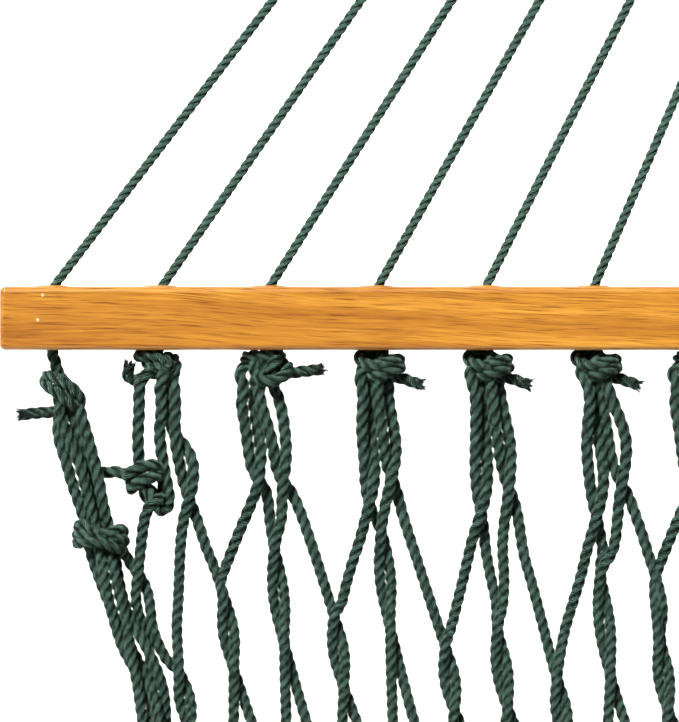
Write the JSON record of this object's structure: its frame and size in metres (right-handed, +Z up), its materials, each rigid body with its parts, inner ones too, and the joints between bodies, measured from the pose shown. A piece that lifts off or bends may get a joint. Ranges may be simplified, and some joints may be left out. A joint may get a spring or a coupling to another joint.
{
  "type": "rope hammock on stand",
  "caption": "Rope net hammock with wooden spreader bars, hung by fanned cords and snap hooks in a leaning tube stand.",
  "frame": {"origin": "on the floor, under the middle of the hammock and stand", "axes": "+X along the hammock from bar to bar, +Y across the bed, +Z up"},
  "size_m": [4.3326, 1.397, 1.1994],
  "materials": {
    "stand_paint": "satin",
    "inner_steel": "satin",
    "bolt_steel": "satin",
    "rubber": "matte",
    "plastic": "satin",
    "zinc_steel": "satin",
    "oak": "gloss",
    "brad_steel": "polished",
    "rope": "matte"
  },
  "bodies": {
    "stand": {"cross_foot_1": "stand_paint", "cross_foot_2": "stand_paint", "base_beam_1": "stand_paint", "base_beam_2": "stand_paint", "upright_1": "stand_paint", "upright_2": "stand_paint", "base_coupler": "inner_steel", "stand_bolts": "bolt_steel", "stand_nuts": "bolt_steel", "foot_caps": "rubber", "upright_caps": "plastic"},
    "hammock": {"quick_link_1": "zinc_steel", "quick_link_2": "zinc_steel", "quick_link_sleeves": "zinc_steel", "chain_1": "zinc_steel", "chain_2": "zinc_steel", "ring_1": "zinc_steel", "ring_2": "zinc_steel", "snap_hook_1": "zinc_steel", "snap_hook_2": "zinc_steel", "gate_rivets": "zinc_steel", "spreader_bar_1": "oak", "spreader_bar_2": "oak", "bar_brads": "brad_steel", "clew_cords_1": "rope", "clew_cords_2": "rope", "bar_knots_1": "rope", "bar_knots_2": "rope", "end_loops_1": "rope", "end_loops_2": "rope", "net_bed": "rope", "edge_rope_left": "rope", "edge_rope_right": "rope", "edge_wraps": "rope"},
    "gate_1": {"snap_gate_1": "zinc_steel"},
    "gate_2": {"snap_gate_2": "zinc_steel"}
  },
  "joints": [
    {"name": "hammock_swing", "type": "hinge", "parent": "stand", "child": "hammock", "pos_m": [2.02701, 0, 1.13087], "axis": [1, 0, 0], "range_deg": [-22, 22]},
    {"name": "gate_1_open", "type": "hinge", "parent": "hammock", "child": "gate_1", "pos_m": [1.91559, 0, 1.10313], "axis": [0, -1, 0], "range_deg": [0, 28], "stiffness_Nm_per_rad": 0.06, "springref_deg": -28.65},
    {"name": "gate_2_open", "type": "hinge", "parent": "hammock", "child": "gate_2", "pos_m": [-1.91559, 0, 1.10313], "axis": [0, 1, 0], "range_deg": [0, 28], "stiffness_Nm_per_rad": 0.06, "springref_deg": -28.65}
  ]
}
